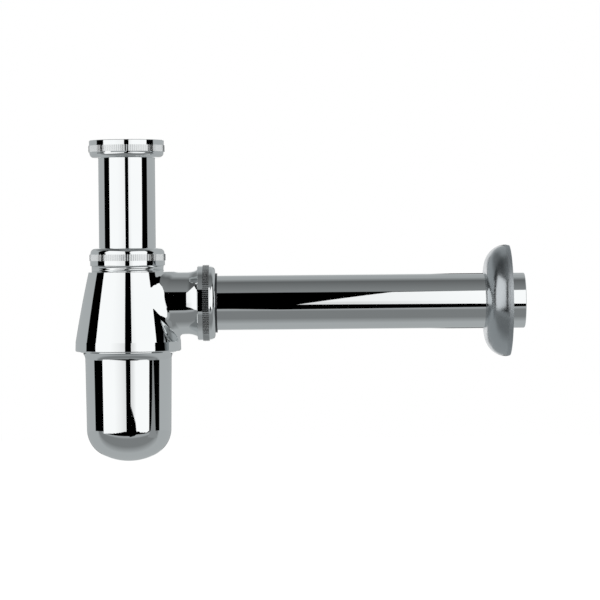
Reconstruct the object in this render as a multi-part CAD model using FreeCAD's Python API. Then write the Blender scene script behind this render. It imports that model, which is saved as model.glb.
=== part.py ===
import FreeCAD, Part
import math
import os

# Chromed brass bottle trap, in millimetres.
# The origin is the centre of the union nut's sealing plane, where the basin waste ends.
# +Z points up into the waste, +X along the outlet tube to the wall.

# Inlet tube
inlet_tube_radius = 16.5
inlet_tube_wall = 1.0
inlet_tube_length = 100.0
inlet_collar_radius = 19.7
inlet_collar_thickness = 1.2
inlet_collar_bend = 0.8
inlet_washer_thickness = 2.2
inlet_washer_bore_radius = 16.0

# Thread shared by the nuts, the neck and the branch (1 1/4 inch pipe thread)
thread_radius = 20.955
thread_clearance = 0.095

# Knurled nuts
nut_length = 10.3
nut_rim_radius = 21.75
nut_rim_length = 3.0
nut_rim_chamfer = 0.25
nut_end_wall = 1.8
nut_end_face_radius = 18.6
nut_end_round = 2.9
nut_shoulder_radius = 21.7
nut_seat_depth = 3.4
nut_seat_radius = 20.0
nut_bore_chamfer = 0.9
knurl_tip_radius = 22.1
knurl_depth = 0.3
knurl_length = 3.7
knurl_teeth = 120

# Rings in the nuts
ring_plate_thickness = 1.2
ring_collar_radius = 17.3
ring_collar_clearance = 0.1
outlet_ring_lip = 1.0
seat_clearance = 0.2
seal_thickness = 2.5
seal_chamfer = 0.4

# Running clearances on the two sliding tubes
seal_clearance = 0.05
ring_clearance = 0.15
union_nut_clearance = 0.15

# Upper joint: neck and dip tube
neck_top_z = -63.9
neck_length = 7.4
neck_bore_radius = 18.1
neck_mouth_chamfer = 0.3
dip_tube_clearance = 0.25
dip_tube_wall = 1.15
dip_tube_length = 91.0
dip_flange_radius = 20.0
dip_flange_thickness = 1.0

# Cone of the body
cone_top_radius = 22.45
cone_height = 45.85
cone_rim_radius = 30.8
cone_skirt_height = 5.55
cone_skirt_taper = 0.15
cone_bulge_radius = 730.0
cone_rim_round = 0.6
cone_wall = 2.2

# Thread ring and gasket seat in the bottom of the body
bottle_thread_radius = 26.5
bottle_thread_clearance = 0.1
bottle_thread_depth = 8.1
bottle_seat_ledge = 1.6
bottle_seat_slope_height = 3.0

# Side branch
outlet_drop = 18.4
branch_radius = 18.2
branch_bore_clearance = 0.4
branch_bore_overlap = 1.0
branch_end_x = 45.45
branch_thread_length = 4.9
branch_flare_length = 6.1
branch_flare_end_radius = 20.0
branch_flare_radius = 11.0
branch_mouth_chamfer = 2.0
branch_blend_top = 9.0
branch_blend_bottom = 1.5

# Outlet tube
outlet_tube_radius = 16.0
outlet_tube_wall = 1.0
outlet_tube_start_x = 30.0
outlet_tube_end_x = 230.6
outlet_tube_end_chamfer = 0.3
depth_mark_width = 0.8
depth_mark_depth = 0.25
spigot_length = 10.0
spigot_past_wall = 8.7

# Bottle
bottle_depth = 64.25
bottle_wall = 1.4
bottle_top_radius = 25.15
bottle_low_radius = 24.62
bottle_collar_radius = 27.8
bottle_collar_gap = 0.25
bottle_collar_fillet = 4.6
bottle_knuckle_radius = 17.0
bottle_crown_radius = 33.6
gasket_thickness = 1.5
gasket_width = 2.2

# Wall flange
flange_rim_radius = 32.1
flange_widest_radius = 32.5
flange_depth = 14.4
flange_arc_radius = 12.6
flange_sheet = 0.8
flange_hole_clearance = 0.2
flange_lip_length = 3.3
flange_lip_round = 0.9

# Places that follow from the sizes
union_shoulder_z = -(inlet_washer_thickness + inlet_collar_thickness)
dip_flange_top_z = neck_top_z + dip_flange_thickness
upper_seal_top_z = dip_flange_top_z + seal_thickness
upper_shoulder_z = upper_seal_top_z + ring_plate_thickness
cone_top_z = neck_top_z - neck_length
cone_rim_z = cone_top_z - cone_height
outlet_z = cone_top_z - outlet_drop
outlet_seal_end_x = branch_end_x + seal_thickness
outlet_shoulder_x = outlet_seal_end_x + ring_plate_thickness
branch_thread_start_x = branch_end_x - branch_thread_length
branch_flare_start_x = branch_thread_start_x - branch_flare_length
branch_bore_start_x = neck_bore_radius + branch_bore_overlap
wall_x = outlet_tube_end_x - spigot_past_wall
nut_thread_radius = thread_radius + thread_clearance
nut_ring_bore_radius = ring_collar_radius + ring_collar_clearance
seat_fit_radius = nut_seat_radius - seat_clearance
dip_tube_bore_radius = inlet_tube_radius + dip_tube_clearance
body_thread_bore_radius = bottle_thread_radius + bottle_thread_clearance
gasket_seat_z = cone_rim_z + bottle_thread_depth
bottle_top_z = gasket_seat_z - gasket_thickness
bottle_bottom_z = cone_rim_z - bottle_depth
bottle_bore_radius = bottle_top_radius - bottle_wall

origin = FreeCAD.Vector(0, 0, 0)
up = FreeCAD.Vector(0, 0, 1)
sideways = FreeCAD.Vector(0, 1, 0)


class HalfSection:
    """A closed half section, drawn as radius against height and turned about the axis."""

    def __init__(self, radius, height):
        self.start = FreeCAD.Vector(radius, 0, height)
        self.here = self.start
        self.edges = []

    def line(self, radius, height):
        end = FreeCAD.Vector(radius, 0, height)
        self.edges.append(Part.makeLine(self.here, end))
        self.here = end
        return self

    def arc(self, radius, height, bend):
        """An arc of radius abs(bend) that bulges left of its way, or right if bend is negative."""
        end = FreeCAD.Vector(radius, 0, height)
        chord = end - self.here
        half = chord.Length / 2
        size = abs(bend)
        sagitta = size - math.sqrt(size * size - half * half)
        left = FreeCAD.Vector(-chord.z, 0, chord.x).normalize()
        middle = (self.here + end) * 0.5 + left * math.copysign(sagitta, bend)
        self.edges.append(Part.Arc(self.here, middle, end).toShape())
        self.here = end
        return self

    def turned(self):
        if (self.here - self.start).Length > 1e-9:
            self.line(self.start.x, self.start.z)
        face = Part.Face(Part.Wire(self.edges))
        return face.revolve(origin, up, 360)


def along_outlet(solid):
    """Lay a solid that was turned about Z onto the outlet's axis, height becoming X."""
    laid = solid.copy()
    laid.rotate(origin, sideways, 90)
    laid.translate(FreeCAD.Vector(0, 0, outlet_z))
    return laid


def upside_down(solid):
    flipped = solid.copy()
    flipped.rotate(origin, sideways, 180)
    return flipped


def moved_up(solid, height):
    lifted = solid.copy()
    lifted.translate(FreeCAD.Vector(0, 0, height))
    return lifted


def cylinder(radius, low, high):
    return Part.makeCylinder(radius, high - low, FreeCAD.Vector(0, 0, low), up)


def flat_ring(outer, inner, low, high, chamfer=0.0):
    if chamfer == 0.0:
        return cylinder(outer, low, high).cut(cylinder(inner, low, high))
    section = HalfSection(inner, low).line(outer - chamfer, low).line(outer, low + chamfer)
    section.line(outer, high - chamfer).line(outer - chamfer, high).line(inner, high)
    return section.turned()


def knurl_band(low, high):
    """A straight knurl: a star of teeth, as deep as the knurl, extruded along the nut."""
    root = knurl_tip_radius - knurl_depth
    corners = []
    for tooth in range(knurl_teeth):
        for step, radius in ((0.0, root), (0.3, knurl_tip_radius), (0.7, knurl_tip_radius)):
            angle = 2 * math.pi * (tooth + step) / knurl_teeth
            corners.append(FreeCAD.Vector(radius * math.cos(angle), radius * math.sin(angle), low))
    corners.append(corners[0])
    star = Part.Face(Part.makePolygon(corners))
    return star.extrude(FreeCAD.Vector(0, 0, high - low))


def knurled_nut(bore_radius):
    """The nut with its shoulder at height 0, its small end above and its rim below."""
    end_face = nut_end_wall
    rim = nut_end_wall - nut_length
    band_low = rim + nut_rim_length
    band_high = band_low + knurl_length
    seat_end = -nut_seat_depth
    section = HalfSection(bore_radius, end_face)
    section.line(bore_radius, nut_bore_chamfer)
    section.line(bore_radius + nut_bore_chamfer, 0)
    section.line(nut_seat_radius, 0)
    section.line(nut_seat_radius, seat_end)
    section.line(nut_thread_radius, seat_end)
    section.line(nut_thread_radius, rim)
    section.line(nut_rim_radius - nut_rim_chamfer, rim)
    section.line(nut_rim_radius, rim + nut_rim_chamfer)
    section.line(nut_rim_radius, band_low)
    section.line(nut_shoulder_radius, band_high)
    section.line(nut_end_face_radius + nut_end_round, end_face - nut_end_round)
    section.arc(nut_end_face_radius, end_face, -nut_end_round)
    body = section.turned()
    band = knurl_band(band_low, band_high)
    hollow = cylinder(nut_thread_radius + (nut_rim_radius - nut_thread_radius) / 2, band_low, band_high)
    return body.fuse(band.cut(hollow)).removeSplitter()


def slip_ring(tube_radius, collar_length):
    """The ring with its plate below height 0 and its collar reaching up through the nut's bore."""
    bore = tube_radius + ring_clearance
    section = HalfSection(bore, -ring_plate_thickness)
    section.line(seat_fit_radius, -ring_plate_thickness)
    section.line(seat_fit_radius, 0)
    section.line(ring_collar_radius + nut_bore_chamfer, 0)
    section.line(ring_collar_radius, nut_bore_chamfer)
    section.line(ring_collar_radius, collar_length)
    section.line(bore, collar_length)
    return section.turned()


def inlet_tube():
    top = -inlet_washer_thickness
    underside = top - inlet_collar_thickness
    bottom = top - inlet_tube_length
    bore = inlet_tube_radius - inlet_tube_wall
    section = HalfSection(bore, bottom)
    section.line(inlet_tube_radius, bottom)
    section.line(inlet_tube_radius, underside - inlet_collar_bend)
    section.arc(inlet_tube_radius + inlet_collar_bend, underside, inlet_collar_bend)
    section.line(inlet_collar_radius, underside)
    section.line(inlet_collar_radius, top)
    section.line(bore + inlet_collar_bend, top)
    section.arc(bore, top - inlet_collar_bend, -inlet_collar_bend)
    return section.turned()


def dip_tube():
    bore = dip_tube_bore_radius
    outside = bore + dip_tube_wall
    bottom = dip_flange_top_z - dip_tube_length
    section = HalfSection(bore, bottom)
    section.line(outside, bottom)
    section.line(outside, neck_top_z)
    section.line(dip_flange_radius, neck_top_z)
    section.line(dip_flange_radius, dip_flange_top_z)
    section.line(bore, dip_flange_top_z)
    return section.turned()


def cone_form(extra):
    """The outside of the cone, carried on past its top by extra, where the shoulder is cut later."""
    skirt_top_z = cone_rim_z + cone_skirt_height
    skirt_top_radius = cone_rim_radius - cone_skirt_taper
    slope = (skirt_top_radius - cone_top_radius) / (cone_top_z - skirt_top_z)
    section = HalfSection(0, cone_rim_z)
    section.line(cone_rim_radius - cone_rim_round, cone_rim_z)
    section.arc(cone_rim_radius, cone_rim_z + cone_rim_round, -cone_rim_round)
    section.line(skirt_top_radius, skirt_top_z)
    section.arc(cone_top_radius - slope * extra, cone_top_z + extra, -cone_bulge_radius)
    section.line(0, cone_top_z + extra)
    return section.turned()


def branch_form():
    section = HalfSection(0, 0)
    section.line(branch_radius, 0)
    section.line(branch_radius, branch_flare_start_x)
    section.arc(branch_flare_end_radius, branch_thread_start_x, branch_flare_radius)
    section.line(thread_radius, branch_thread_start_x)
    section.line(thread_radius, branch_end_x)
    section.line(0, branch_end_x)
    return along_outlet(section.turned())


def edge_samples(edge, count=9):
    first, last = edge.ParameterRange
    return [first + (last - first) * step / (count - 1) for step in range(count)]


def junction_edges(half):
    """The edges where the branch meets the cone, on one half of the body."""
    found = []
    for edge in half.Edges:
        points = [edge.valueAt(t) for t in edge_samples(edge)]
        on_branch = all(abs(math.hypot(p.y, p.z - outlet_z) - branch_radius) < 1e-3 for p in points)
        distances = [math.hypot(p.x, p.y) for p in points]
        beside_cone = all(cone_top_radius - 1 < r < cone_rim_radius + 1 for r in distances)
        off_the_cut = points[len(points) // 2].y > branch_radius / 2
        if on_branch and beside_cone and off_the_cut:
            found.append(edge)
    return found


def blended_form():
    """Cone and branch, with a blend that shrinks from the top of the branch to its underside."""
    extra = branch_blend_top + 1
    reach = branch_end_x + cone_rim_radius
    whole = cone_form(extra).fuse(branch_form())
    behind = Part.makeBox(2 * reach, reach, 4 * reach, FreeCAD.Vector(-reach, -reach, -3 * reach))
    half = whole.cut(behind)
    edge = junction_edges(half)[0]
    first, last = edge.ParameterRange
    starts_on_top = edge.valueAt(first).z > edge.valueAt(last).z
    if starts_on_top:
        radii = (branch_blend_top, branch_blend_bottom)
    else:
        radii = (branch_blend_bottom, branch_blend_top)
    half = half.makeFillet(radii[0], radii[1], [edge])
    other = half.mirror(origin, sideways)
    form = half.fuse(other).removeSplitter()
    above = cylinder(branch_flare_start_x, cone_top_z, cone_top_z + 2 * extra)
    return form.cut(above)


def body_cavity():
    ledge_z = gasket_seat_z + bottle_seat_ledge
    slope_top_z = ledge_z + bottle_seat_slope_height
    slope = (cone_rim_radius - cone_top_radius) / cone_height
    low_radius = cone_top_radius + slope * (cone_top_z - slope_top_z) - cone_wall
    high_z = cone_top_z - cone_wall
    high_radius = cone_top_radius - cone_wall
    section = HalfSection(0, cone_rim_z)
    section.line(body_thread_bore_radius, cone_rim_z)
    section.line(body_thread_bore_radius, gasket_seat_z)
    section.line(bottle_bore_radius, gasket_seat_z)
    section.line(bottle_bore_radius, ledge_z)
    section.line(low_radius, slope_top_z)
    section.line(high_radius, high_z - cone_wall)
    section.arc(neck_bore_radius, high_z, neck_bore_radius - high_radius)
    section.line(neck_bore_radius, neck_top_z - neck_mouth_chamfer)
    section.line(neck_bore_radius + neck_mouth_chamfer, neck_top_z)
    section.line(0, neck_top_z)
    return section.turned()


def branch_bore():
    """The passage of the outlet tube, which starts inside the cavity and clear of the neck's bore."""
    bore = outlet_tube_radius + branch_bore_clearance
    section = HalfSection(0, branch_bore_start_x)
    section.line(bore, branch_bore_start_x)
    section.line(bore, branch_end_x - branch_mouth_chamfer)
    section.line(bore + branch_mouth_chamfer, branch_end_x)
    section.line(0, branch_end_x)
    return along_outlet(section.turned())


def trap_body():
    neck = cylinder(thread_radius, cone_top_z - cone_wall, neck_top_z)
    body = blended_form().fuse(neck)
    return body.cut(body_cavity()).cut(branch_bore())


def outlet_seal():
    """The rubber ring with its back on the slip ring and its nose in the branch's mouth."""
    bore = outlet_tube_radius + seal_clearance
    nose = branch_mouth_chamfer - seat_clearance
    section = HalfSection(bore, branch_end_x - nose + seal_chamfer)
    section.line(outlet_tube_radius + branch_bore_clearance + seal_chamfer - seat_clearance,
                 branch_end_x - nose + seal_chamfer)
    section.line(outlet_tube_radius + branch_bore_clearance + nose, branch_end_x)
    section.line(seat_fit_radius, branch_end_x)
    section.line(seat_fit_radius, outlet_seal_end_x - seal_chamfer)
    section.line(seat_fit_radius - seal_chamfer, outlet_seal_end_x)
    section.line(bore, outlet_seal_end_x)
    return along_outlet(section.turned())


def outlet_tube():
    bore = outlet_tube_radius - outlet_tube_wall
    mark_end = outlet_tube_end_x - spigot_length
    mark_start = mark_end - depth_mark_width
    section = HalfSection(bore, outlet_tube_start_x)
    section.line(outlet_tube_radius, outlet_tube_start_x)
    section.line(outlet_tube_radius, mark_start)
    section.line(outlet_tube_radius - depth_mark_depth, mark_start)
    section.line(outlet_tube_radius - depth_mark_depth, mark_end)
    section.line(outlet_tube_radius, mark_end)
    section.line(outlet_tube_radius, outlet_tube_end_x - outlet_tube_end_chamfer)
    section.line(outlet_tube_radius - outlet_tube_end_chamfer, outlet_tube_end_x)
    section.line(bore, outlet_tube_end_x)
    return along_outlet(section.turned())


def bottle_cup():
    """A deep cup with a threaded neck above its collar and a dished bottom of one wall thickness."""
    crown_offset = bottle_low_radius - bottle_knuckle_radius
    crown_rise = math.sqrt((bottle_crown_radius - bottle_knuckle_radius) ** 2 - crown_offset ** 2)
    crown_z = bottle_bottom_z + bottle_crown_radius
    knuckle_z = crown_z - crown_rise
    share = bottle_crown_radius / (bottle_crown_radius - bottle_knuckle_radius)
    inner_share = (bottle_crown_radius - bottle_wall) / (bottle_crown_radius - bottle_knuckle_radius)
    collar_top_z = cone_rim_z - bottle_collar_gap
    fillet_reach = bottle_top_radius + bottle_collar_fillet - bottle_collar_radius
    fillet_rise = math.sqrt(bottle_collar_fillet ** 2 - fillet_reach ** 2)
    fillet_foot_z = collar_top_z - bottle_collar_gap - fillet_rise
    section = HalfSection(bottle_bore_radius, bottle_top_z)
    section.line(bottle_thread_radius, bottle_top_z)
    section.line(bottle_thread_radius, collar_top_z)
    section.line(bottle_collar_radius, collar_top_z)
    section.line(bottle_collar_radius, fillet_foot_z + fillet_rise)
    section.arc(bottle_top_radius, fillet_foot_z, -bottle_collar_fillet)
    section.line(bottle_low_radius, knuckle_z)
    section.arc(crown_offset * share, crown_z - crown_rise * share, bottle_knuckle_radius)
    section.arc(0, bottle_bottom_z, bottle_crown_radius)
    section.line(0, bottle_bottom_z + bottle_wall)
    section.arc(crown_offset * inner_share, crown_z - crown_rise * inner_share,
                bottle_wall - bottle_crown_radius)
    section.arc(bottle_low_radius - bottle_wall, knuckle_z, bottle_wall - bottle_knuckle_radius)
    section.line(bottle_bore_radius, fillet_foot_z)
    return section.turned()


def wall_flange():
    """The domed rosette: one drawn sheet, its rim to the wall and its lip turned in along the tube."""
    hole = outlet_tube_radius + flange_hole_clearance
    dome_radius = flange_widest_radius - flange_arc_radius
    dome_foot = flange_arc_radius - flange_depth
    under = flange_sheet - flange_depth
    section = HalfSection(flange_rim_radius, 0)
    section.line(flange_widest_radius, dome_foot)
    section.arc(dome_radius, -flange_depth, flange_arc_radius)
    section.line(hole + flange_lip_round, -flange_depth)
    section.arc(hole, flange_lip_round - flange_depth, flange_lip_round)
    section.line(hole, flange_lip_length - flange_depth)
    section.line(hole + flange_sheet, flange_lip_length - flange_depth)
    section.line(hole + flange_sheet, under)
    section.line(dome_radius, under)
    section.arc(flange_widest_radius - flange_sheet, dome_foot, flange_sheet - flange_arc_radius)
    section.line(flange_rim_radius - flange_sheet, 0)
    return along_outlet(moved_up(section.turned(), wall_x))


def nodes():
    upper_ring = slip_ring(inlet_tube_radius, nut_end_wall)
    outlet_ring = slip_ring(outlet_tube_radius, nut_end_wall + outlet_ring_lip)
    gasket_outer = body_thread_bore_radius - seat_clearance
    return {
        "inlet_union_nut": moved_up(
            upside_down(knurled_nut(inlet_tube_radius + union_nut_clearance)), union_shoulder_z),
        "inlet_washer": flat_ring(
            seat_fit_radius, inlet_washer_bore_radius, -inlet_washer_thickness, 0, seal_chamfer),
        "inlet_tube": inlet_tube(),
        "upper_compression_nut": moved_up(knurled_nut(nut_ring_bore_radius), upper_shoulder_z),
        "upper_slip_ring": moved_up(upper_ring, upper_shoulder_z),
        "upper_seal": flat_ring(
            seat_fit_radius, inlet_tube_radius + seal_clearance, dip_flange_top_z, upper_seal_top_z,
            seal_chamfer),
        "dip_tube": dip_tube(),
        "trap_body": trap_body(),
        "bottle_gasket": flat_ring(
            gasket_outer, gasket_outer - gasket_width, bottle_top_z, gasket_seat_z),
        "bottle_cup": bottle_cup(),
        "outlet_compression_nut": along_outlet(
            moved_up(knurled_nut(nut_ring_bore_radius), outlet_shoulder_x)),
        "outlet_slip_ring": along_outlet(moved_up(outlet_ring, outlet_shoulder_x)),
        "outlet_seal": outlet_seal(),
        "outlet_tube": outlet_tube(),
        "wall_flange": wall_flange(),
    }


os.makedirs("parts", exist_ok=True)
for name, shape in nodes().items():
    solids = shape.Solids
    solid = solids[0] if len(solids) == 1 else Part.makeCompound(solids)
    solid.exportStep(os.path.join("parts", name + ".step"))
    print(name, len(solids), "solid", solid.isValid(), round(solid.Volume / 1000, 3), "cm3")
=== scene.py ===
import math

import bpy
from mathutils import Matrix, Vector


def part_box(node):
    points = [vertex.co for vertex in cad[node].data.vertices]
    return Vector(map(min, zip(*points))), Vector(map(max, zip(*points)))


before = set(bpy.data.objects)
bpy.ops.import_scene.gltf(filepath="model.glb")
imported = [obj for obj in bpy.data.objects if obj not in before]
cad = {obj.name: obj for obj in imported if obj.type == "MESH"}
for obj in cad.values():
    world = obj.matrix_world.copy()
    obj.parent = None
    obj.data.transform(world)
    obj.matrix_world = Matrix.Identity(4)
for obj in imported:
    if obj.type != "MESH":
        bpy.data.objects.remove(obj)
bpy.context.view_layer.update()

# Lengths are in the frame's metres, apart from the camera's lens and sensor, which are in millimetres

X, Y, Z = 0, 1, 2

# Camera, with its angles in degrees
camera_place = Vector((0.085, -1.55, -0.058))
camera_yaw = -0.556
camera_pitch = -1.125
camera_roll = -0.5
camera_lens = 159.8
camera_sensor = 36.0
camera_clip = 0.01

# Chrome plate: tints that it wanders between, and least and greatest roughness of its patches
bright_chrome = ((0.81, 0.83, 0.835, 1), (0.84, 0.86, 0.865, 1))
dull_chrome = ((0.47, 0.50, 0.52, 1), (0.52, 0.55, 0.57, 1))
wiped_haze = (0.01, 0.03)
flange_haze = (0.19, 0.23)
chrome_tint_scale = 30.0
chrome_haze_scale = 60.0
chrome_wave_scale = 45.0
chrome_waviness = 0.000012

# Half the width of the border between a place with a treatment and one without
soft_border = 0.0001

# The flange's brushed rim, whose place is measured back from the wall
rim_haze = 0.3
rim_start = 0.0035
rim_full = 0.002

# The neck's pipe thread: its length is measured down from the neck's top, its reach out along X
thread_pitch = 0.002309
thread_wave = 0.0002
thread_length = 0.0073
thread_reach = 0.0215

# The nuts' knurl, whose place is measured from the small end, and the share of its colour darkened by painted
# shade
knurl_band_start = 0.0036
knurl_band_length = 0.0037
knurl_haze = 0.17
knurl_land_haze = 0.03
knurl_land_radius = 0.02209
knurl_valley_radius = 0.02205
# Painted shade on the knurled bands, stronger on the outlet nut
upright_knurl_painted_shade = 0.15
outlet_knurl_painted_shade = 0.32

# The casting of the body, whose cone runs softly into its branch
cone_top = -0.0713
cone_top_radius = 0.02245
cone_slope = 0.2035
branch_height = -0.0897
branch_radius = 0.0182
blend_on_cone = 0.0044
blend_on_branch = 0.0035
blend_strength = 3.0
blend_end = 0.034
blend_below_top = 0.002

# Rubber and plastic
moulded_tint_scale = 90.0
moulded_haze_scale = 400.0
moulded_haze_range = 0.06
grain_scale = 1800.0
plastic_index = 1.5

# Light of the studio's cards, and the world's and the floor's white
white_light = (1, 1, 1, 1)
grey_light = (0.955, 1.0, 1.015, 1)
panel_radiance = 1.13
back_radiance = 0.95
strip_radiance = 0.29

# Places of the studio
tent_radius = 4.0
card_reach = 3.98
card_bottom = -0.58
table_height = -0.59
floor_height = -0.60
floor_reach = 6.0

# Light on the matt pieces and the floor
world_strength = 0.75
floor_lift = 0.4
floor_colour = (0.85, 0.85, 0.85, 1)
lamp_place = (-0.4, -0.5, 1.5)
lamp_target = Vector((0.08, 0, -0.1))
lamp_length = 1.6
lamp_width = 1.2
lamp_power = 14.0


def add_object(name, data):
    made = bpy.data.objects.new(name, data)
    bpy.context.scene.collection.objects.link(made)
    return made


def set_camera():
    """The photo's camera, as fitted to the part's edges."""
    yaw = math.radians(camera_yaw)
    pitch = math.radians(camera_pitch)
    roll = math.radians(camera_roll)
    ahead = Vector((-math.sin(yaw) * math.cos(pitch), math.cos(yaw) * math.cos(pitch), math.sin(pitch)))
    level = Vector((math.cos(yaw), math.sin(yaw), 0))
    upright = level.cross(ahead)
    right = level * math.cos(roll) + upright * math.sin(roll)
    top = upright * math.cos(roll) - level * math.sin(roll)
    data = bpy.data.cameras.new("camera")
    data.lens = camera_lens
    data.sensor_width = camera_sensor
    data.clip_start = camera_clip
    camera = add_object("camera", data)
    turn = Matrix((right, top, -ahead)).transposed()
    camera.matrix_world = Matrix.Translation(camera_place) @ turn.to_4x4()
    bpy.context.scene.camera = camera


class Shader:
    """A material's node tree, with short ways to add and join nodes."""

    def __init__(self, tree):
        self.tree = tree
        self.tree.nodes.clear()

    def add(self, kind, inputs=None, **settings):
        node = self.tree.nodes.new("ShaderNode" + kind)
        for name, value in settings.items():
            setattr(node, name, value)
        for name, value in (inputs or {}).items():
            self.give(node.inputs[name], value)
        return node

    def give(self, socket, value):
        if isinstance(value, bpy.types.NodeSocket):
            self.tree.links.new(value, socket)
        else:
            socket.default_value = value

    def math(self, operation, first, second=0.0, third=0.0):
        node = self.add("Math", operation=operation)
        for socket, value in zip(node.inputs, (first, second, third)):
            self.give(socket, value)
        return node.outputs[0]

    def noise(self, place, scale, detail=2.0):
        return self.add("TexNoise", {"Vector": place, "Scale": scale, "Detail": detail}).outputs[0]

    def mixed(self, share, first, second, kind="FLOAT"):
        """The first where the share is nought, and the second where it is one."""
        first_input, second_input, output = {"FLOAT": (2, 3, 0), "RGBA": (6, 7, 2)}[kind]
        node = self.add("Mix", data_type=kind)
        self.give(node.inputs[0], share)
        self.give(node.inputs[first_input], first)
        self.give(node.inputs[second_input], second)
        return node.outputs[output]

    def spread(self, value, low, high, from_low=0.0, from_high=1.0):
        """From low to high while the value goes from from_low to from_high, and level beyond them."""
        inputs = {"Value": value, "From Min": from_low, "From Max": from_high, "To Min": low, "To Max": high}
        return self.add("MapRange", inputs).outputs[0]

    def smooth(self, distance, reach):
        """One at no distance, and softly down to nought at the reach."""
        inputs = {"Value": distance, "From Min": 0.0, "From Max": reach, "To Min": 1.0, "To Max": 0.0}
        return self.add("MapRange", inputs, interpolation_type="SMOOTHSTEP").outputs[0]

    def along(self, place, axis):
        return self.add("SeparateXYZ", {0: place}).outputs[axis]

    def within(self, value, low, high):
        """One where the value lies between low and high, nought elsewhere, with soft borders."""
        off_middle = self.math("ABSOLUTE", self.math("SUBTRACT", value, (low + high) / 2))
        half = (high - low) / 2
        return self.spread(off_middle, 1.0, 0.0, half - soft_border, half + soft_border)

    def vector(self, operation, first, second=(0, 0, 0)):
        node = self.add("VectorMath", {0: first, 1: second}, operation=operation)
        return node.outputs["Value" if operation == "LENGTH" else "Vector"]

    def scaled(self, vector, share):
        node = self.add("VectorMath", {"Vector": vector, "Scale": share}, operation="SCALE")
        return node.outputs["Vector"]

    def in_world(self, normal):
        """A normal in the piece's own coordinates, turned to the world's and made one long."""
        settings = {"vector_type": "NORMAL", "convert_from": "OBJECT", "convert_to": "WORLD"}
        turned = self.add("VectorTransform", {"Vector": normal}, **settings).outputs[0]
        return self.vector("NORMALIZE", turned)

    def bumped(self, height, distance, under=None):
        inputs = {"Height": height, "Strength": 1.0, "Distance": distance}
        if under is not None:
            inputs["Normal"] = under
        return self.add("Bump", inputs).outputs[0]

    def in_sight(self):
        """One for rays from the camera, a mirroring surface or a clear one, and nought for others."""
        path = self.add("LightPath").outputs
        seen = self.math("MAXIMUM", path["Is Camera Ray"], path["Is Glossy Ray"])
        return self.math("MAXIMUM", seen, path["Is Transmission Ray"])


def new_material(name):
    material = bpy.data.materials.new(name)
    material.use_nodes = True
    return material, Shader(material.node_tree)


def principled(name, colour, metallic, roughness, bump):
    """A finished material, whose colour, roughness and bump are functions of the shader and its place."""
    material, shader = new_material(name)
    place = shader.add("TexCoord").outputs["Object"]
    inputs = {
        "Base Color": colour(shader, place),
        "Metallic": metallic,
        "Roughness": roughness(shader, place),
        "IOR": plastic_index,
        "Normal": bump(shader, place),
    }
    surface = shader.add("BsdfPrincipled", inputs)
    shader.add("OutputMaterial", {"Surface": surface.outputs[0]})
    return material


def tinted(shader, place, low, high, scale):
    """A colour that wanders a little between two tints."""
    return shader.mixed(shader.noise(place, scale), low, high, "RGBA")


def chrome(name, tints=bright_chrome, haze=wiped_haze, coarse=None, shade=None, relief=None, soft=None):
    """Polished chrome plate: faint waves of the metal beneath, and hazier patches where it has been wiped.

    coarse is a function for how much rougher the plate is in places, shade one for how much of its
    colour is kept under a painted shade, relief one for a fine form laid over it, and soft one for a
    normal softer than the solid's own.
    """

    def colour(shader, place):
        plate = tinted(shader, place, tints[0], tints[1], chrome_tint_scale)
        return shader.scaled(plate, shade(shader, place)) if shade else plate

    def roughness(shader, place):
        clouds = shader.noise(place, chrome_haze_scale, detail=4.0)
        patches = shader.spread(clouds, haze[0], haze[1], 0.3, 0.7)
        return shader.math("ADD", patches, coarse(shader, place)) if coarse else patches

    def bump(shader, place):
        under = soft(shader, place) if soft else None
        swell = shader.noise(place, chrome_wave_scale, detail=0.0)
        waves = shader.bumped(swell, chrome_waviness, under)
        return shader.bumped(relief(shader, place), 1.0, waves) if relief else waves

    return principled(name, colour, 1.0, roughness, bump)


def knurled_chrome(node, axis, end_is_low, painted_shade):
    """Puts chrome on a nut, whose knurled band has rough valleys and a colour darkened by a share of painted
    shade.
    """
    low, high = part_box(node)
    band_end = knurl_band_start + knurl_band_length
    if end_is_low:
        band = (low[axis] + knurl_band_start, low[axis] + band_end)
    else:
        band = (high[axis] - band_end, high[axis] - knurl_band_start)
    around_axis = (1, 1, 0) if axis == Z else (0, 1, 1)

    def on_band(shader, place):
        return shader.within(shader.along(place, axis), band[0], band[1])

    def coarse(shader, place):
        """The teeth's lands are polished, and the valleys between them are rough."""
        off_axis = shader.vector("SUBTRACT", place, (0, 0, branch_height))
        radius = shader.vector("LENGTH", shader.vector("MULTIPLY", off_axis, around_axis))
        haze = shader.spread(radius, knurl_haze, knurl_land_haze, knurl_valley_radius, knurl_land_radius)
        return shader.math("MULTIPLY", on_band(shader, place), haze)

    # Painted shade: the band's colour is darkened by the given share, standing in for light the knurl loses
    def shade(shader, place):
        return shader.math("MULTIPLY_ADD", on_band(shader, place), -painted_shade, 1.0)

    dress(chrome("chrome_" + node, coarse=coarse, shade=shade), node)


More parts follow.
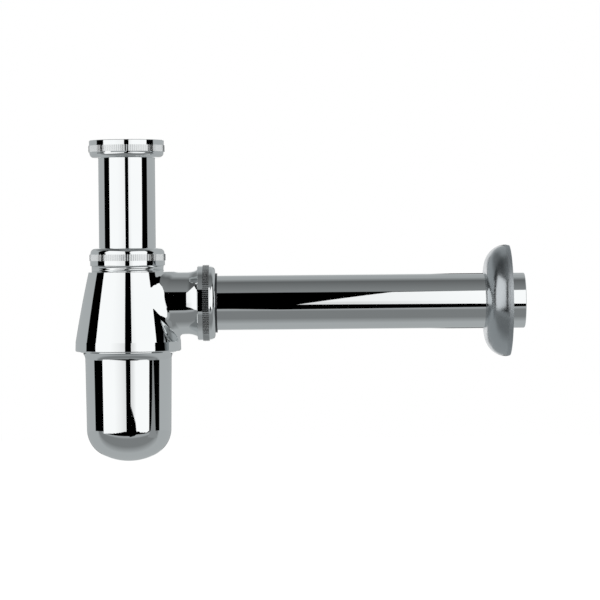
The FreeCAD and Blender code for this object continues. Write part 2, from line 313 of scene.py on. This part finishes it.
def cast_chrome():
    """The body's chrome, with the neck's pipe thread and a soft run from the cone into the branch."""
    neck_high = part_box("trap_body")[1][Z]
    neck_low = neck_high - thread_length

    def relief(shader, place):
        x, y, z = (shader.along(place, axis) for axis in (X, Y, Z))
        turn = shader.math("DIVIDE", shader.math("ARCTAN2", y, x), 2 * math.pi)
        phase = shader.math("SUBTRACT", shader.math("DIVIDE", z, thread_pitch), turn)
        wave = shader.math("COSINE", shader.math("MULTIPLY", phase, 2 * math.pi))
        in_height = shader.within(z, neck_low, neck_high)
        in_width = shader.within(x, -thread_reach, thread_reach)
        on_neck = shader.math("MULTIPLY", in_height, in_width)
        return shader.math("MULTIPLY", shader.math("MULTIPLY", wave, thread_wave), on_neck)

    def soft(shader, place):
        """Near the junction of cone and branch, the normal leans to the two forms' middle."""
        height = shader.along(place, Z)
        flat = shader.vector("MULTIPLY", place, (1, 1, 0))
        from_axis = shader.vector("LENGTH", flat)
        radius_at_origin = cone_top_radius + cone_slope * cone_top
        cone_radius = shader.math("MULTIPLY_ADD", height, -cone_slope, radius_at_origin)
        off_cone = shader.math("SUBTRACT", from_axis, cone_radius)
        off_axis = shader.vector("SUBTRACT", place, (0, 0, branch_height))
        round_branch = shader.vector("MULTIPLY", off_axis, (0, 1, 1))
        off_branch = shader.math("SUBTRACT", shader.vector("LENGTH", round_branch), branch_radius)
        cone_normal = shader.vector("ADD", shader.vector("NORMALIZE", flat), (0, 0, cone_slope))
        branch_normal = shader.vector("NORMALIZE", round_branch)
        both = shader.in_world(shader.vector("ADD", cone_normal, branch_normal))
        near_branch = shader.smooth(off_branch, blend_on_cone)
        near_cone = shader.smooth(off_cone, blend_on_branch)
        beside = shader.within(shader.along(place, X), 0.0, blend_end)
        under_top = shader.spread(height, 1.0, 0.0, cone_top - blend_below_top, cone_top)
        share = shader.math("MULTIPLY", shader.math("MULTIPLY", near_branch, near_cone), blend_strength)
        share = shader.math("MULTIPLY", share, shader.math("MULTIPLY", beside, under_top))
        own = shader.add("NewGeometry").outputs["Normal"]
        return shader.vector("NORMALIZE", shader.vector("ADD", own, shader.scaled(both, share)))

    return chrome("chrome_body", relief=relief, soft=soft)


def flange_chrome():
    """A duller plate, brushed at the rim by the wall."""
    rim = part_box("wall_flange")[1][X]

    def coarse(shader, place):
        return shader.spread(shader.along(place, X), 0.0, rim_haze, rim - rim_start, rim - rim_full)

    return chrome("chrome_flange", tints=dull_chrome, haze=flange_haze, coarse=coarse)


def moulded(name, low, high, rough, grain):
    """Moulded rubber or plastic, between two tints, with a fine grain."""

    def colour(shader, place):
        return tinted(shader, place, low, high, moulded_tint_scale)

    def roughness(shader, place):
        clouds = shader.noise(place, moulded_haze_scale)
        return shader.spread(clouds, rough - moulded_haze_range, rough + moulded_haze_range)

    def bump(shader, place):
        return shader.bumped(shader.noise(place, grain_scale, detail=3.0), grain)

    return principled(name, colour, 0.0, roughness, bump)


def dress(material, *names):
    for name in names:
        data = cad[name].data
        data.materials.clear()
        data.materials.append(material)


def card(name, corners, glow, tint=white_light, faces=None):
    """A studio card: only reflections see it, and it lights nothing else.

    glow is its radiance, or a function that makes it from the shader and the place on the card.
    """
    mesh = bpy.data.meshes.new(name)
    mesh.from_pydata(corners, [], faces or [tuple(range(len(corners)))])
    material, shader = new_material(name)
    if callable(glow):
        glow = glow(shader, shader.add("NewGeometry").outputs["Position"])
    light = shader.add("Emission", {"Color": tint, "Strength": glow})
    shader.add("OutputMaterial", {"Surface": light.outputs[0]})
    material.cycles.emission_sampling = "NONE"
    mesh.materials.append(material)
    made = add_object(name, mesh)
    made.visible_camera = False
    made.visible_diffuse = False
    made.visible_transmission = False
    made.visible_volume_scatter = False
    made.visible_shadow = False


def studio_tent():
    """The far surroundings: dark in front, and grey behind, at the sides and in the sloping ceiling."""
    rings, spokes = 32, 64
    points = []
    for ring in range(rings + 1):
        tilt = math.pi * ring / rings
        for spoke in range(spokes):
            turn = 2 * math.pi * spoke / spokes
            flat = tent_radius * math.sin(tilt)
            points.append((flat * math.cos(turn), flat * math.sin(turn), tent_radius * math.cos(tilt)))
    faces = []
    for ring in range(rings):
        for spoke in range(spokes):
            beside = (spoke + 1) % spokes
            row = ring * spokes
            faces.append((row + spoke, row + beside, row + spokes + beside, row + spokes + spoke))

    def ceiling(shader, y, z):
        """Dimmer from the front to the zenith, and brighter again from there to the back."""
        over = shader.math("ARCTAN2", z, shader.math("MULTIPLY", y, -1.0))
        near = shader.spread(over, 0.26, 0.145, math.radians(45), math.radians(94))
        far = shader.spread(over, 0.0, 0.27, math.radians(96), math.radians(118))
        return shader.math("ADD", near, far)

    def walls(shader, x, y):
        """Grey behind an edge that runs back a little to the left and to the right."""
        left_edge = shader.math("MULTIPLY", shader.math("MINIMUM", x, 0.0), -0.20)
        right_edge = shader.math("MULTIPLY", shader.math("MAXIMUM", x, 0.0), 0.049)
        past_edge = shader.math("SUBTRACT", y, shader.math("ADD", left_edge, right_edge))
        return shader.spread(past_edge, 0.0, 0.465, -0.01, 0.01)

    def unlit_corner(shader, x, z):
        """The dark high on the left."""
        leftward = shader.spread(x, 0.5, 0.0, -0.35, -0.12)
        upward = shader.spread(z, 0.0, 1.0, 0.42, 0.6)
        return shader.math("MULTIPLY", leftward, upward)

    def glow(shader, place):
        direction = shader.vector("NORMALIZE", place)
        x, y, z = (shader.along(direction, axis) for axis in (X, Y, Z))
        edge_low, edge_high = math.sin(math.radians(41.5)), math.sin(math.radians(42.5))
        above = shader.spread(z, 0.0, 1.0, edge_low, edge_high)
        level = shader.mixed(above, walls(shader, x, y), ceiling(shader, y, z))
        return shader.math("MULTIPLY", level, shader.math("SUBTRACT", 1.0, unlit_corner(shader, x, z)))

    card("studio_tent", points, glow, grey_light, faces)


def studio_table():
    """The grey table under the part, paler at its near edge and behind, and the black cloth before it."""
    low, reach = table_height, card_reach
    near_edge = [(-reach, -1.08, low), (0.04, -1.08, low), (0.09, -0.90, low), (0.30, -1.06, low),
                 (0.60, -1.45, low), (reach, -1.45, low)]

    def glow(shader, place):
        y = shader.along(place, Y)
        near = shader.spread(y, 0.17, 0.0, -0.88, -0.68)
        behind = shader.spread(y, 0.232, 0.445, -0.19, 0.07)
        return shader.math("ADD", near, behind)

    card("studio_table", near_edge + [(reach, reach, low), (-reach, reach, low)], glow, grey_light)
    card("black_cloth", [(-reach, -reach, low), (reach, -reach, low)] + near_edge[::-1], 0.0)


def studio_panels():
    """Two white panels, dimmer low down by the dark gap between them."""

    def glow(shader, place):
        x = shader.along(place, X)
        on_left = shader.spread(x, 0.0, 0.28, -0.33, -0.063)
        on_right = shader.spread(x, 0.34, 0.0, 0.13, 0.27)
        by_gap = shader.math("MINIMUM", on_left, on_right)
        low_down = shader.spread(shader.along(place, Z), 1.0, 0.35, -0.10, -0.03)
        return shader.math("SUBTRACT", panel_radiance, shader.math("MULTIPLY", by_gap, low_down))

    left = [(-0.525, -0.198, -0.262), (-0.063, -0.81, -0.262), (-0.063, -0.81, 0.58), (-0.538, -0.18, 0.55),
            (-0.538, -0.18, -0.12), (-0.525, -0.198, -0.155)]
    right = [(0.105, -0.81, -0.215), (0.25, -0.69, -0.22), (0.38, -0.58, -0.275), (0.56, -0.43, -0.275),
             (0.61, -0.388, -0.225), (0.623, -0.378, -0.16), (0.692, -0.32, -0.03), (0.735, -0.285, 0.25),
             (0.745, -0.277, 0.60), (0.20, -0.81, 0.60)]
    card("left_panel", left, glow)
    card("right_panel", right, glow)


def around(azimuth, distance, height):
    """A place at an azimuth that is nought towards the camera's side and grows to the right."""
    turn = math.radians(azimuth)
    return (distance * math.sin(turn), -distance * math.cos(turn), height)


def side_strip():
    """A narrow grey strip to the right and low down, for the bottle's right side to mirror."""
    distance = 0.9
    outline = [(69.0, -0.155), (67.5, -0.21), (65.0, -0.232), (60.0, -0.25), (57.0, card_bottom),
               (88.0, card_bottom), (78.0, -0.24), (75.0, -0.21), (70.5, -0.165)]
    corners = [around(azimuth, distance, height) for azimuth, height in outline]
    card("side_strip", corners, strip_radiance, grey_light)


def back_panel():
    """A white panel between black borders, straight behind, for the part's back to mirror."""
    side, back, top = 0.32, 1.05, 0.4
    corners = [(-side, back, card_bottom), (side, back, card_bottom), (side, back, top), (-side, back, top)]

    def glow(shader, place):
        off_middle = shader.math("ABSOLUTE", shader.along(place, X))
        return shader.spread(off_middle, back_radiance, 0.0, 0.24, 0.26)

    card("back_panel", corners, glow)


def pale_world():
    """White where it is seen, and a little dimmer as light."""
    world = bpy.data.worlds.new("world")
    world.use_nodes = True
    bpy.context.scene.world = world
    shader = Shader(world.node_tree)
    strength = shader.spread(shader.in_sight(), world_strength, 1.0)
    surroundings = shader.add("Background", {"Color": white_light, "Strength": strength})
    shader.add("OutputWorld", {"Surface": surroundings.outputs[0]})


def pale_floor():
    """A wide pale floor well below the part, as bright as the background and still darkened by shadow."""
    low, reach = floor_height, floor_reach
    mesh = bpy.data.meshes.new("floor")
    mesh.from_pydata([(-reach, -reach, low), (reach, -reach, low), (reach, reach, low), (-reach, reach, low)],
                     [], [(0, 1, 2, 3)])
    material, shader = new_material("floor")
    paint = shader.add("BsdfDiffuse", {"Color": floor_colour})
    strength = shader.math("MULTIPLY", shader.in_sight(), floor_lift)
    lift = shader.add("Emission", {"Color": white_light, "Strength": strength})
    both = shader.add("AddShader", {0: paint.outputs[0], 1: lift.outputs[0]})
    shader.add("OutputMaterial", {"Surface": both.outputs[0]})
    mesh.materials.append(material)
    add_object("floor", mesh)


def soft_lamp():
    """One wide soft lamp overhead for the matt pieces and the floor's shadow."""
    data = bpy.data.lights.new("soft_lamp", "AREA")
    data.shape = "RECTANGLE"
    data.size = lamp_length
    data.size_y = lamp_width
    data.energy = lamp_power
    lamp = add_object("soft_lamp", data)
    lamp.location = lamp_place
    lamp.rotation_euler = (lamp_target - lamp.location).to_track_quat("-Z", "Y").to_euler()
    lamp.visible_glossy = False


set_camera()
bpy.context.scene.view_settings.view_transform = "Standard"

# The knurled bands are darkened by painted shade, more on the outlet nut
knurled_chrome("inlet_union_nut", Z, True, upright_knurl_painted_shade)
knurled_chrome("upper_compression_nut", Z, False, upright_knurl_painted_shade)
knurled_chrome("outlet_compression_nut", X, False, outlet_knurl_painted_shade)
dress(chrome("chrome_tube"), "inlet_tube", "outlet_tube")
dress(cast_chrome(), "trap_body")
dress(chrome("chrome_bottle"), "bottle_cup")
dress(flange_chrome(), "wall_flange")
dress(moulded("rubber", (0.02, 0.02, 0.02, 1), (0.035, 0.035, 0.035, 1), rough=0.6, grain=0.00002),
      "inlet_washer", "upper_seal", "outlet_seal", "bottle_gasket")
dress(moulded("ring_plastic", (0.010, 0.011, 0.014, 1), (0.020, 0.021, 0.025, 1), rough=0.35, grain=0.00001),
      "upper_slip_ring", "outlet_slip_ring")
dress(moulded("dip_tube_plastic", (0.82, 0.82, 0.80, 1), (0.87, 0.87, 0.85, 1), rough=0.4, grain=0.00001),
      "dip_tube")

pale_world()
pale_floor()
soft_lamp()
studio_tent()
studio_table()
studio_panels()
side_strip()
back_panel()
